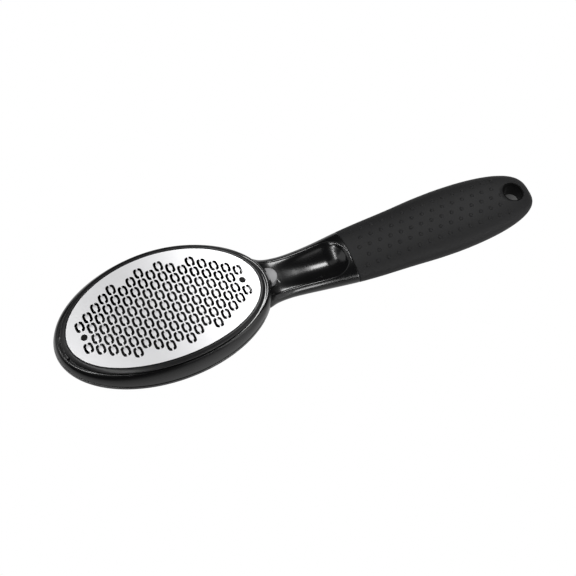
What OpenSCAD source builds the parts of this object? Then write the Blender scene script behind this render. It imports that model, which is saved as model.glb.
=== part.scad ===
// Foot file: a bowed metal rasp plate in a hinged bezel, on an oval head that
// catches the filings, with a cranked neck, a thumb scoop and a rubber grip.
// The shape is laid out from the middle of the plate's top face: +X runs to the
// grip, +Y across and +Z out of the plate. The finished part is then moved so
// that its origin is at the middle of its lowest level.

/* [Plate] */
// Length of the file plate, along the handle
plate_len = 83; // [76:1:92]
// Width of the file plate
plate_wid = 47.3; // [42:0.1:52]
// Thickness of the plate's sheet
plate_t = 0.5; // [0.4:0.05:0.7]
// Radius of the plate's bow, along its length
bow_r = 222; // [190:1:320]
// Clearance between the plate and the bezel that holds it
plate_fit = 0.25; // [0.15:0.05:0.35]

/* [Teeth] */
// Distance from one tooth to its nearest neighbours
tooth_pitch = 5; // [4.8:0.1:7]
// Bare border between the tooth centres and the plate's edge
tooth_margin = 5.1; // [4.6:0.1:9]
// Length of a tooth with its two slots, across the file
tooth_len = 4.6; // [3.6:0.1:4.7]
// Width of a tooth with its two slots, along the file
tooth_wid = 3.7; // [3.2:0.1:3.9]
// Width of each curved slot
slot_w = 0.88; // [0.6:0.02:0.9]
// Width of the bridges that join a tooth to the plate at both its ends
bridge_w = 0.9; // [0.8:0.1:1.5]
// Height of a tooth above the plate
tooth_rise = 0.2; // [0.15:0.05:0.5]

/* [Bezel] */
// Width of the lip round the plate
lip_w = 2.1; // [1.8:0.1:2.4]
// Thickness of the lip
lip_t = 1.3; // [1.1:0.1:1.5]
// How far the lip's outer edge lies below the plate's edge
lip_fall = 0.5; // [0.3:0.05:0.8]
// Depth of the skirt below the plate's top face
skirt_h = 3; // [2.6:0.1:3.4]
// Thickness of the skirt's wall
skirt_t = 1.6; // [1.2:0.1:1.8]
// Width of the ledge under the plate's edge
ledge_w = 2.4; // [2:0.1:3]
// Thickness of the ribs under the plate
rib_t = 0.8; // [0.6:0.1:0.9]
// Shadow gap between the bezel's lip and the head
lip_gap = 0.45; // [0.35:0.05:0.6]

/* [Head] */
// Depth of the head, from the plate's middle to its flat base
head_depth = 11.2; // [11:0.1:13]
// How far the head's wall stands outside the plate at its top
wall_out = 2.5; // [2.3:0.1:2.8]
// How far the head stands outside the plate at its base
base_out = 5.4; // [5:0.1:6]
// How far the hollow inside reaches beyond the plate
hollow_out = 1.2; // [1:0.1:1.4]
// Thickness of the base cover's floor
floor_t = 1.6; // [1.2:0.1:1.8]
// Gap at the seam between the head and its base cover
seam_gap = 0.25; // [0.15:0.05:0.35]
// Distance from the plate's end back to the cover's straight end at the neck
cover_inset = 3.9; // [3.5:0.1:5]

/* [Handle] */
// Length of the neck, from the head to the rubber
neck_len = 37.9; // [35:0.1:46]
// Length of the rubber grip
grip_len = 90.8; // [84:0.1:110]
// Distance from the start of the rubber to the widest place of the grip
palm_from_seam = 47.2; // [42:0.1:52]
// How far the grip's axis lies below the plate
handle_drop = 18.35; // [17.5:0.05:20]
// Width of the grip at its widest
grip_wid = 31; // [28:0.5:34]
// Thickness of the grip at its thickest
grip_thick = 13; // [12.5:0.1:15]
// Thickness of the rubber
rubber_t = 2; // [1.6:0.1:2.2]
// Depth of the thumb scoop below its edges
scoop_depth = 3.2; // [2.4:0.1:3.5]
// Width of the thumb scoop at its widest
scoop_wid = 16.4; // [15:0.2:17]

/* [Hanging hole] */
// Diameter of the hole's straight bore
hang_d = 7.8; // [6:0.1:8]
// Diameter of the hole's flared mouths
hang_mouth_d = 9; // [8.2:0.1:9.6]
// Length of the straight bore
hang_bore_len = 6.4; // [5:0.1:7]
// Distance from the hole's centre to the handle's tip
hang_from_tip = 8.7; // [8.5:0.1:10]

/* [Latch] */
// Radius of the button's round side
button_r = 3.75; // [3.4:0.05:4]
// Level of the button's face below the plate's middle
button_drop = 7.6; // [7.3:0.1:7.8]
// Travel of the button
latch_travel = 1.6; // [1.4:0.1:1.8]
// Sliding clearance round the button
latch_fit = 0.25; // [0.2:0.05:0.35]

/* [Hidden] */
$fn = 48;
cut = 1;                    // overrun of every cut past the face it opens
far = 60;                   // reach of the blocks that trim a shape to one side
radian = 180 / PI;

half_len = plate_len / 2;
half_wid = plate_wid / 2;
head_end = half_len + base_out;
cover_end = half_len - cover_inset;
seam_x = head_end + neck_len;
palm_x = seam_x + palm_from_seam;
tip_x = seam_x + grip_len;
lift = handle_drop + grip_thick / 2;
mid_x = (tip_x - head_end) / 2;

module part_place() translate([-mid_x, 0, lift]) children();

// Places that follow the plate's bow, and places round its oval outline.
rim_steps = 80;
function bow(x) = sqrt(bow_r * bow_r - x * x) - bow_r;
function rim(out, turn) = [(half_len + out) * cos(turn), (half_wid + out) * sin(turn)];
function oval(out) = [for (i = [0 : rim_steps - 1]) rim(out, 360 * i / rim_steps)];

// One ring of the outline for each corner of a section. A corner is its reach
// beyond the plate, its level and how much it follows the bow, from 0 to 1.
function rim_point(corner, turn) =
    let (p = rim(corner[0], turn)) [p[0], p[1], corner[1] + corner[2] * bow(p[0])];

module rim_sweep(section) {
    count = len(section);
    points = [for (i = [0 : rim_steps - 1]) for (c = section) rim_point(c, 360 * i / rim_steps)];
    function at(i, k) = (i % rim_steps) * count + k % count;
    faces = [for (i = [0 : rim_steps - 1]) for (k = [0 : count - 1])
             for (f = [[at(i, k), at(i + 1, k), at(i + 1, k + 1)],
                       [at(i, k), at(i + 1, k + 1), at(i, k + 1)]]) f];
    polyhedron(points = points, faces = faces);
}

// A solid through rings of points that all have the same number of points.
module loft(rings) {
    count = len(rings[0]);
    last = len(rings) - 1;
    points = [for (r = rings) for (p = r) p];
    sides = [for (i = [0 : last - 1]) for (k = [0 : count - 1])
             let (a = i * count + k, b = i * count + (k + 1) % count)
             for (f = [[a, a + count, b + count], [a, b + count, b]]) f];
    ends = [[for (k = [0 : count - 1]) k], [for (k = [count - 1 : -1 : 0]) last * count + k]];
    polyhedron(points = points, faces = concat(sides, ends));
}

// A smooth curve through a table of places and values.
function slope(t, i) =
    let (a = max(i - 1, 0), b = min(i + 1, len(t) - 1)) (t[b][1] - t[a][1]) / (t[b][0] - t[a][0]);
function stretch(t, x, i = 0) = (i >= len(t) - 2 || x < t[i + 1][0]) ? i : stretch(t, x, i + 1);
function smooth(t, x) =
    let (i = stretch(t, x), d = t[i + 1][0] - t[i][0], s = (x - t[i][0]) / d)
    (2 * s ^ 3 - 3 * s ^ 2 + 1) * t[i][1] + (s ^ 3 - 2 * s ^ 2 + s) * d * slope(t, i)
    + (3 * s ^ 2 - 2 * s ^ 3) * t[i + 1][1] + (s ^ 3 - s ^ 2) * d * slope(t, i + 1);

// A bar of round section across the file, at a place along it.
module cross_rod(x, z, r, from_y, to_y)
    translate([x, to_y, z]) rotate([90, 0, 0]) cylinder(r = r, h = to_y - from_y);

// The side of the head: a curve from the wall's top to the base's edge.
// Above the seam it follows the bow less and less, and below it lies flat.
wall_top = lip_t + lip_gap;
flank_mid_share = [0.82, 0.27];
seam_share = 0.8;
bow_power = 1.5;
flank_steps = 5;
skirting_steps = 3;
flank_mid = [wall_out + flank_mid_share[0] * (base_out - wall_out),
             wall_top + flank_mid_share[1] * (head_depth - wall_top)];
function flank(t) = (1 - t) ^ 2 * [wall_out, wall_top] + 2 * t * (1 - t) * flank_mid
                    + t ^ 2 * [base_out, head_depth];
function flank_corner(t) = [flank(t)[0], -flank(t)[1], max(0, 1 - t / seam_share) ^ bow_power];
seam_z = -flank(seam_share)[1];
cover_top_z = seam_z - seam_gap;
floor_z = floor_t - head_depth;
base_edge_r = 0.8;

// File plate
column_step = tooth_pitch * sqrt(3) / 2;
column_count = floor(bow_r * asin((half_len - tooth_margin) / bow_r) / radian / column_step);
function column_turn(i) = i * column_step / bow_r * radian;
function column_x(i) = bow_r * sin(column_turn(i));
function in_field(x, y) =
    (x / (half_len - tooth_margin)) ^ 2 + (y / (half_wid - tooth_margin)) ^ 2 <= 1;
rows = ceil(half_wid / tooth_pitch) * 2;
slot_steps = 4;
tooth_steps = 10;

function tooth_places() =
    [for (i = [-column_count : column_count]) for (j = [-rows : rows])
     let (x = column_x(i), y = j * tooth_pitch / 2)
     if ((i + j) % 2 == 0 && in_field(x, y) && norm([abs(x) - rivet_x, y]) > tooth_pitch / 2) [x, y]];

// One curved slot beside a tooth; side is 1 towards the grip and -1 towards the toe.
module slot_outline(side) {
    outer = [tooth_wid / 2, tooth_len / 2];
    inner = outer - [slot_w, slot_w];
    function turn(r, k) = acos(bridge_w / 2 / r[0]) * (2 * k / slot_steps - 1);
    function place(r, k) = [side * r[0] * cos(turn(r, k)), r[1] * sin(turn(r, k))];
    polygon(concat([for (k = [0 : slot_steps]) place(outer, k)],
                   [for (k = [slot_steps : -1 : 0]) place(inner, k)]));
}

module tooth_outline() {
    pad = [tooth_wid / 2 - slot_w, tooth_len / 2 - slot_w];
    polygon([for (k = [0 : tooth_steps - 1]) let (a = 360 * k / tooth_steps)
             [pad[0] * cos(a), pad[1] * sin(a)]]);
}

// A sheet bowed along the file, between two levels measured from the plate's top
// face. Its flats meet halfway between the columns of teeth, where there are no slots.
module bowed_sheet(top, bottom) {
    count = ceil(half_len / column_step);
    function place(i, level) = let (a = column_turn(i + 0.5))
        [(bow_r + level) * sin(a), (bow_r + level) * cos(a) - bow_r];
    rotate([90, 0, 0]) linear_extrude(plate_wid + 2 * cut, center = true)
        polygon(concat([for (i = [-count - 1 : count]) place(i, top)],
                       [for (i = [count : -1 : -count - 1]) place(i, bottom)]));
}

module upright(deep) translate([0, 0, -deep]) linear_extrude(2 * deep) children();

module file_plate() {
    deep = -bow(half_len) + plate_t + tooth_rise + cut;
    color("silver") part_place() difference() {
        union() {
            intersection() {
                bowed_sheet(0, -plate_t);
                upright(deep) difference() {
                    polygon(oval(0));
                    for (p = tooth_places()) for (side = [-1, 1]) translate(p) slot_outline(side);
                }
            }
            intersection() {
                bowed_sheet(tooth_rise, -plate_t / 2);
                upright(deep) for (p = tooth_places()) translate(p) tooth_outline();
            }
        }
        for (side = [-1, 1]) rivet_place(side) translate([0, 0, -cut])
            cylinder(r = rivet_shank_d / 2 + rivet_fit, h = 2 * cut);
    }
}

// Rivets through the plate into the bezel's end bosses, square to the bowed sheet.
rivet_x = column_x(column_count);
rivet_shank_d = 2;
rivet_head_d = 2.8;
rivet_head_h = 0.3;
rivet_len = 2.4;
rivet_fit = 0.05;
module rivet_place(side)
    translate([side * rivet_x, 0, bow(rivet_x)])
        rotate([0, side * asin(rivet_x / bow_r), 0]) children();

module plate_rivets() {
    color([0.1, 0.1, 0.1]) part_place() for (side = [-1, 1]) rivet_place(side) {
        cylinder(d1 = rivet_head_d, d2 = rivet_shank_d, h = rivet_head_h);
        translate([0, 0, -rivet_len]) cylinder(d = rivet_shank_d, h = rivet_len + rivet_head_h / 2);
    }
}

// Bezel that carries the plate, with its ledge, ribs, rivet bosses, hinge knuckle and catch.
seat_fit = 0.05;
seat_z = -plate_t - seat_fit;
ledge_t = 1;
lip_round = 0.3;
lip_crown_shares = [[0.35, 0.06], [0.7, 0.45], [1, 1]];
skirt_fit = 0.55;
skirt_out = hollow_out - skirt_fit;
rivet_boss_d = 5;
rivet_boss_h = 2.9;
rib_h = 2;
rib_columns = [-4.5, -1.5, 1.5, 4.5];

// The hinge lies in the shadow gap at the toe, so that the lip swings clear of the wall.
pin_r = 0.4;
pin_fit = 0.04;
knuckle_r = 0.8;
knuckle_gap = 0.2;
knuckle_half = 2.2;
hinge_half = 5;
hinge_x = -(half_len + lip_w - lip_gap / 2);
hinge_z = bow(hinge_x) - lip_t - lip_gap / 2;

// The catch hangs from the skirt at the neck end, and the latch's tongue fills its window.
catch_half = 3;
catch_t = 1.1;
catch_x = half_len + skirt_out - skirt_t / 2 + catch_t / 2;
window_half = 2.2;
window_fit = 0.15;
window_bar = 0.6;
tongue_t = 0.7;
tongue_low = 0.2;
tongue_half = window_half - latch_fit;
tongue_z = -button_drop - tongue_low - tongue_t;
catch_low = tongue_z - window_fit - window_bar;

// The lip's top falls more and more steeply from its inner edge to its outer edge.
function crown_corner(share) =
    let (from = plate_fit + lip_round) [from + share[0] * (lip_w - from), -share[1] * lip_fall, 1];

module bezel_frame() {
    seat = [[-ledge_w, seat_z, 1], [plate_fit, seat_z, 1], [plate_fit, -lip_round, 1],
            [plate_fit + lip_round, 0, 1]];
    crown = [for (share = lip_crown_shares) crown_corner(share)];
    skirt = [[lip_w, -lip_t, 1], [skirt_out, -lip_t, 1], [skirt_out, -skirt_h, 1],
             [skirt_out - skirt_t, -skirt_h, 1], [skirt_out - skirt_t, seat_z - ledge_t, 1],
             [-ledge_w, seat_z - ledge_t, 1]];
    color([0.15, 0.15, 0.16]) part_place() difference() {
        union() {
            rim_sweep(concat(seat, crown, skirt));
            for (c = rib_columns) bezel_rib(column_x(c));
            for (side = [-1, 1]) rivet_boss(side);
            cross_rod(hinge_x, hinge_z, knuckle_r, -knuckle_half, knuckle_half);
            translate([catch_x - catch_t, -catch_half, catch_low])
                cube([catch_t, 2 * catch_half, bow(catch_x) - lip_t - catch_low]);
        }
        for (side = [-1, 1]) rivet_place(side) translate([0, 0, -rivet_boss_h - cut])
            cylinder(r = rivet_shank_d / 2 + rivet_fit, h = rivet_boss_h + 2 * cut);
        cross_rod(hinge_x, hinge_z, pin_r + pin_fit, -hinge_half, hinge_half);
        for (side = [-1, 1])
            cross_rod(hinge_x, hinge_z, knuckle_r + knuckle_gap,
                      side > 0 ? knuckle_half : -hinge_half - knuckle_gap,
                      side > 0 ? hinge_half + knuckle_gap : -knuckle_half);
        translate([catch_x - catch_t - cut, -window_half, tongue_z - window_fit])
            cube([catch_t + 2 * cut, 2 * window_half, tongue_t + 2 * window_fit]);
    }
}

module bezel_rib(x) {
    reach = half_wid * sqrt(1 - (x / half_len) ^ 2) - ledge_w / 2;
    translate([x - rib_t / 2, -reach, bow(abs(x) + rib_t) + seat_z - rib_h])
        cube([rib_t, 2 * reach, rib_h]);
}

module rivet_boss(side) {
    low = bow(rivet_x) - rivet_boss_h;
    reach = half_len - ledge_w / 2 - rivet_x;
    translate([side * rivet_x, 0, low])
        cylinder(d = rivet_boss_d, h = bow(rivet_x + rivet_boss_d / 2) + seat_z - low);
    translate([side > 0 ? rivet_x : -rivet_x - reach, -rivet_boss_d / 4, low])
        cube([reach, rivet_boss_d / 2, bow(half_len) + seat_z - low]);
}

module hinge_pin() {
    reach = hinge_half - knuckle_gap;
    color("silver") part_place() cross_rod(hinge_x, hinge_z, pin_r, -reach, reach);
}

// Handle. Its width, thickness and level follow named sizes by hand-chosen shares,
// from the root inside the head, at share 0, to the palm, at share 1.
root_x = cover_end + seam_gap;
ring_steps = 32;
squareness = 2.3;
width_shares = [[0, 0.9], [0.05, 0.81], [0.1, 0.685], [0.17, 0.638], [0.24, 0.65], [0.35, 0.71],
                [0.5, 0.82], [0.6, 0.87], [0.77, 0.925], [0.9, 0.98], [1, 1]];
thick_shares = [[0, 0.3], [0.045, 0.46], [0.085, 0.6], [0.13, 0.62], [0.18, 0.63], [0.27, 0.69],
                [0.36, 0.74], [0.5, 0.79], [0.65, 0.87], [0.8, 0.95], [1, 1]];
level_shares = [[0, 0.5], [0.05, 0.6], [0.1, 0.725], [0.17, 0.808], [0.23, 0.862], [0.34, 0.932],
                [0.5, 0.972], [0.65, 0.99], [1, 1]];
tip_width_power = 2.17;
tip_thick_power = 3.5;
tip_end_share = 0.9995;
tip_width_root = 3;
tip_thick_root = 2;
function palm_share(x) = (x - root_x) / (palm_x - root_x);
function tip_share(x, inset) = min(tip_end_share, (x - palm_x) / (tip_x - inset - palm_x));
function handle_half_wid(x, inset) = x < palm_x
    ? grip_wid / 2 * smooth(width_shares, palm_share(x)) - inset
    : (grip_wid / 2 - inset) * (1 - tip_share(x, inset) ^ tip_width_power) ^ (1 / tip_width_root);
function handle_half_thick(x, inset) = x < palm_x
    ? grip_thick / 2 * smooth(thick_shares, palm_share(x)) - inset
    : (grip_thick / 2 - inset) * (1 - tip_share(x, inset) ^ tip_thick_power) ^ (1 / tip_thick_root);
function handle_level(x) = -handle_drop * smooth(level_shares, min(1, palm_share(x)));

// A ring in the shape of a rounded rectangle.
function bulge(v) = sign(v) * abs(v) ^ (2 / squareness);
function handle_ring(x, inset) =
    [for (k = [0 : ring_steps - 1]) let (a = 360 * k / ring_steps)
     [x, handle_half_wid(x, inset) * bulge(cos(a)),
      handle_level(x) + handle_half_thick(x, inset) * bulge(sin(a))]];

neck_steps = 16;
grip_steps = 9;
end_steps = 10;
neck_start = root_x + seam_gap;
function neck_stations() =
    [for (i = [0 : neck_steps]) neck_start + (seam_x - neck_start) * i / neck_steps];
function grip_stations(inset, start) = concat(
    [for (i = [0 : grip_steps - 1]) start + (palm_x - start) * i / grip_steps],
    [for (i = [0 : end_steps]) palm_x + (tip_x - inset - palm_x) * sin(90 * i / end_steps)]);
module neck_form() loft([for (x = neck_stations()) handle_ring(x, 0)]);
module grip_form(inset, start) loft([for (x = grip_stations(inset, start)) handle_ring(x, inset)]);

// Thumb scoop: a spoon-shaped cut that deepens away from the head and ends in a round
// bowl. Its hollow is a parabola across the handle.
scoop_from_seam = 1.9;
scoop_start = head_end + seam_gap;
scoop_end = seam_x - scoop_from_seam;
scoop_rise = 8;
scoop_steps = 8;
scoop_end_share = 0.998;
scoop_lip_share = 0.76;
scoop_wid_shares = [[0, 0.92], [0.2, 0.86], [0.45, 0.9], [0.75, 1], [1, 1]];
scoop_depth_shares = [[0, 0.2], [0.25, 0.42], [0.6, 0.85], [0.8, 1], [1, 1]];
function scoop_share(x) = (x - scoop_start) / (scoop_end - scoop_start);
function scoop_round(x) =
    let (r = max(0, (x - scoop_end + scoop_wid / 2) / (scoop_wid / 2)))
    sqrt(1 - min(scoop_end_share, r) ^ 2);
function scoop_ring(x) =
    let (s = scoop_share(x),
         half_w = scoop_wid / 2 * smooth(scoop_wid_shares, s) * scoop_round(x),
         level = handle_level(x) + scoop_lip_share * handle_half_thick(x, 0),
         depth = scoop_depth * smooth(scoop_depth_shares, s) * scoop_round(x) ^ 2)
    [for (k = [0 : ring_steps - 1]) let (a = 360 * k / ring_steps)
     [x, half_w * cos(a), level + (sin(a) > 0 ? scoop_rise * sin(a) : -depth * sin(a) ^ 2)]];
function scoop_stations() = concat(
    [for (i = [0 : scoop_steps - 1])
     scoop_start + (scoop_end - scoop_wid / 2 - scoop_start) * i / scoop_steps],
    [for (i = [0 : scoop_steps]) scoop_end - scoop_wid / 2 * (1 - sin(90 * i / scoop_steps))]);
module scoop() loft([for (x = scoop_stations()) scoop_ring(x)]);

// Latch: the button slides along the neck's top, its tongue reaches through the
// head's wall and its foot runs in a pocket, with a bowed leaf spring behind it.
button_inset = 0.2;
button_x = head_end - button_inset;
button_edge = 0.5;
button_edge_share = 1.5;
button_h = 4.2;
button_low = -button_drop - button_h;
stem_r = 2.4;
stem_h = 2.2;
foot_top = button_low - stem_h;
foot_h = 2.1;
foot_len = 4.4;
foot_half = 3.4;
spring_t = 0.25;
spring_bow = 2.1;
spring_half = 3;
pocket_fit = 0.15;
pocket_len = foot_len + spring_bow + 2 * pocket_fit;
pocket_low = foot_top - foot_h - pocket_fit;

// The button's outline: straight along the head and round towards the grip, grown
// by a clearance and drawn out by the run of the room that it slides in.
module button_outline(r, grow, run) {
    intersection() {
        union() {
            for (x = [0, run]) translate([x, 0]) circle(r = r + grow);
            if (run > 0) translate([0, -r - grow]) square([run, 2 * (r + grow)]);
        }
        translate([-grow, -far]) square([far, 2 * far]);
    }
}

module latch_button() {
    color([0.62, 0.62, 0.63]) part_place() {
        translate([button_x, 0, button_low]) linear_extrude(button_h - button_edge)
            button_outline(button_r, 0, 0);
        translate([button_x + button_edge, 0, -button_drop - button_edge]) linear_extrude(button_edge)
            button_outline(button_r - button_edge_share * button_edge, 0, 0);
        translate([button_x, 0, foot_top]) linear_extrude(stem_h) button_outline(stem_r, 0, 0);
        translate([button_x, -foot_half, foot_top - foot_h]) cube([foot_len, 2 * foot_half, foot_h]);
        translate([catch_x - catch_t, -tongue_half, tongue_z])
            cube([button_x - catch_x + catch_t + button_edge, 2 * tongue_half, tongue_t]);
    }
}

// Leaf spring, bowed towards the pocket's end.
module latch_spring() {
    leaf_r = (spring_half ^ 2 + spring_bow ^ 2) / (2 * spring_bow);
    end_x = button_x + pocket_len - pocket_fit;
    leaf_h = foot_h - 2 * pocket_fit;
    color("silver") part_place() translate([end_x - leaf_r, 0, foot_top - foot_h + pocket_fit])
        intersection() {
            difference() {
                cylinder(r = leaf_r, h = leaf_h);
                translate([0, 0, -cut]) cylinder(r = leaf_r - spring_t, h = leaf_h + 2 * cut);
            }
            translate([leaf_r - spring_bow, -far, -cut]) cube([far, 2 * far, leaf_h + 2 * cut]);
        }
}

// The room that the latch slides in: for the button, its stem, its foot and its tongue.
module latch_room() {
    translate([button_x, 0, button_low - latch_fit]) linear_extrude(far)
        button_outline(button_r, latch_fit, latch_travel);
    translate([button_x, 0, pocket_low]) linear_extrude(button_low - pocket_low)
        button_outline(stem_r, latch_fit, latch_travel);
    translate([button_x - pocket_fit, -foot_half - pocket_fit, pocket_low - cut])
        cube([pocket_len + pocket_fit, 2 * (foot_half + pocket_fit), foot_h + 2 * pocket_fit + cut]);
    translate([0, -tongue_half - latch_fit, tongue_z - latch_fit])
        cube([button_x + cut, 2 * (tongue_half + latch_fit), tongue_t + 2 * latch_fit]);
}

// Screws that point up from below, countersunk, and the holes that they need.
small_screw_d = 2;
small_head_d = 3.6;
small_head_h = 0.8;
driver_w = 0.6;
driver_len = 2.4;
driver_depth = 0.6;
screw_fit = 0.1;
thread_fit = 0.03;

module screw(x, y, low, top) {
    translate([x, y, low]) difference() {
        union() {
            cylinder(d1 = small_head_d, d2 = small_screw_d, h = small_head_h);
            cylinder(d = small_screw_d, h = top - low);
        }
        for (turn = [0, 90]) rotate(turn) translate([-driver_len / 2, -driver_w / 2, -cut])
            cube([driver_len, driver_w, cut + driver_depth]);
    }
}

// Clearance hole through a cover, with its countersink.
module screw_hole(x, y, low, top) {
    translate([x, y, low]) {
        translate([0, 0, -cut]) cylinder(r = small_head_d / 2 + screw_fit, h = cut);
        cylinder(r1 = small_head_d / 2 + screw_fit, r2 = small_screw_d / 2 + screw_fit, h = small_head_h);
        cylinder(r = small_screw_d / 2 + screw_fit, h = top - low + cut);
    }
}

// Blind hole that a screw bites into.
module pilot_hole(x, y, low, top)
    translate([x, y, low - cut])
        cylinder(r = small_screw_d / 2 + thread_fit, h = top + thread_fit - low + cut);

// The plate that closes the latch's pocket under the neck, with its screw.
latch_cover_len = 13;
latch_cover_half = 4.6;
latch_screw_from_end = 2.7;
latch_screw_bite = 2;
latch_screw_inset = 0.4;
latch_screw_x = button_x + latch_cover_len - latch_screw_from_end;
latch_screw_low = handle_level(latch_screw_x) - handle_half_thick(latch_screw_x, 0) + latch_screw_inset;

module latch_cover_block(grow)
    translate([button_x - pocket_fit - grow, -latch_cover_half - grow, pocket_low - far])
        cube([latch_cover_len + 2 * grow, 2 * (latch_cover_half + grow), far]);

module latch_cover() {
    color([0.1, 0.1, 0.1]) part_place() difference() {
        intersection() {
            neck_form();
            latch_cover_block(0);
        }
        screw_hole(latch_screw_x, 0, latch_screw_low, pocket_low);
    }
}

module latch_screw()
    color("gray") part_place()
        screw(latch_screw_x, 0, latch_screw_low, pocket_low + latch_screw_bite);

// Screws of the base cover, and the posts inside the head that they bite into. The
// posts stop short of the bezel's skirt, and the screws stop short of the posts' tops.
post_turns = [48, 132, 228, 312];
post_d = 5;
post_in = 1;
post_gap = 0.9;
post_cap = 0.65;
screw_inset = 0.2;
screw_low = -head_depth + screw_inset;
post_places = [for (turn = post_turns) rim(-post_in, turn)];
function post_top(p) = bow(p[0]) - skirt_h - post_gap;

module base_screws() {
    color("gray") part_place() for (p = post_places)
        screw(p[0], p[1], screw_low, post_top(p) - post_cap);
}

// The posts keep clear of the cover's rim below the seam, and join the wall above it.
module screw_posts() {
    difference() {
        for (p = post_places) translate([p[0], p[1], floor_z])
            cylinder(d = post_d, h = post_top(p) - floor_z);
        translate([0, 0, floor_z - cut]) linear_extrude(seam_z - floor_z + cut) difference() {
            square(2 * far, center = true);
            polygon(oval(hollow_out - seam_gap));
        }
    }
}

// Shallow dish that closes the head from below and holds the filings.
table_steps = 40;
flank_table = [for (i = [0 : table_steps]) let (t = i / table_steps) [flank(t)[1], t]];
cover_share = lookup(-cover_top_z, flank_table);
edge_share = 0.75;
base_edge_shares = [1 / 2, 1 / 3];
module base_cover() {
    side = [for (i = [0 : skirting_steps])
            flank_corner(cover_share + (1 - cover_share) * edge_share * i / skirting_steps)];
    section = concat([[hollow_out, cover_top_z, 0]], side,
                     [[base_out - base_edge_shares[0] * base_edge_r,
                       base_edge_shares[1] * base_edge_r - head_depth, 0],
                      [base_out - base_edge_r, -head_depth, 0],
                      [hollow_out - floor_t, -head_depth, 0], [hollow_out - floor_t, floor_z, 0],
                      [hollow_out, floor_z, 0]]);
    color([0.12, 0.12, 0.13]) part_place() difference() {
        union() {
            rim_sweep(section);
            translate([0, 0, -head_depth]) linear_extrude(floor_t) polygon(oval(0));
        }
        translate([cover_end, -far, -far]) cube([far, 2 * far, 2 * far]);
        for (p = post_places) screw_hole(p[0], p[1], screw_low, floor_z);
    }
}

// The main moulding: the head's wall, the neck with its scoop, and the tang inside the grip.
tang_fit = 0.1;
tang_overlap = 1;
hang_x = tip_x - hang_from_tip;
lining_t = 1.5;
lining_r = hang_d / 2 + lining_t;
hollow_overlap = 0.4;

module head_wall() {
    upper = concat([[hollow_out, -wall_top, 1]],
                   [for (i = [0 : flank_steps]) flank_corner(seam_share * i / flank_steps)],
                   [[hollow_out, seam_z, 0]]);
    lower = concat([[hollow_out, seam_z, 0]],
                   [for (i = [0 : skirting_steps])
                    flank_corner(seam_share + (1 - seam_share) * i / skirting_steps)],
                   [[hollow_out - floor_t, -head_depth, 0], [hollow_out - floor_t, floor_z, 0],
                    [hollow_out, floor_z, 0]]);
    rim_sweep(upper);
    intersection() {
        union() {
            rim_sweep(lower);
            translate([0, 0, -head_depth]) linear_extrude(floor_t) polygon(oval(0));
        }
        translate([root_x, -far, -far]) cube([far, 2 * far, 2 * far]);
    }
}

module hinge_lugs() {
    inner = knuckle_half + knuckle_gap;
    for (y = [-hinge_half, inner]) cross_rod(hinge_x, hinge_z, knuckle_r, y, y + hinge_half - inner);
}

module handle_body() {
    clear_half = knuckle_half + knuckle_gap;
    color([0.08, 0.08, 0.09]) part_place() difference() {
        union() {
            head_wall();
            difference() {
                neck_form();
                translate([0, 0, floor_z]) linear_extrude(far) polygon(oval(hollow_out + hollow_overlap));
                scoop();
            }
            grip_form(rubber_t + tang_fit, seam_x - tang_overlap);
            screw_posts();
            hinge_lugs();
        }
        cross_rod(hinge_x, hinge_z, pin_r + pin_fit, -hinge_half - cut, hinge_half + cut);
        cross_rod(hinge_x, hinge_z, knuckle_r + knuckle_gap, -clear_half, clear_half);
        latch_room();
        latch_cover_block(pocket_fit);
        pilot_hole(latch_screw_x, 0, pocket_low, pocket_low + latch_screw_bite);
        for (p = post_places) pilot_hole(p[0], p[1], floor_z, post_top(p) - post_cap);
        translate([hang_x, 0, -far]) cylinder(r = lining_r + tang_fit, h = 2 * far);
    }
}

// Rubber sleeve that is moulded over the tang and lines the hanging hole.
flare_share = 0.5;
module rubber_grip() {
    flare_h = flare_share * (grip_thick - hang_bore_len) / 2;
    color([0.17, 0.17, 0.17]) part_place() difference() {
        grip_form(0, seam_x);
        difference() {
            grip_form(rubber_t, seam_x - cut);
            translate([hang_x, 0, -far]) cylinder(r = lining_r, h = 2 * far);
        }
        translate([hang_x, 0, -far]) cylinder(d = hang_d, h = 2 * far);
        translate([hang_x, 0, -handle_drop]) for (turn = [0, 180]) rotate([turn, 0, 0])
            translate([0, 0, hang_bore_len / 2]) {
                cylinder(d1 = hang_d, d2 = hang_mouth_d, h = flare_h);
                translate([0, 0, flare_h]) cylinder(d = hang_mouth_d, h = grip_thick);
            }
    }
}

file_plate();
plate_rivets();
bezel_frame();
hinge_pin();
handle_body();
base_cover();
base_screws();
latch_button();
latch_spring();
latch_cover();
latch_screw();
rubber_grip();
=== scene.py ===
"""Foot file: fine shapes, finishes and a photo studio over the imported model.

Shapes are laid out in millimetres from the middle of the file plate's top face, with
+X towards the grip, +Y across and +Z out of the plate. Each finished mesh is then
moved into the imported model's frame, in metres.
"""

import logging
import math
from collections.abc import Callable, Iterable, Sequence
from dataclasses import dataclass
from enum import Enum

import bmesh
import bpy
from mathutils import Matrix, Vector


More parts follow.
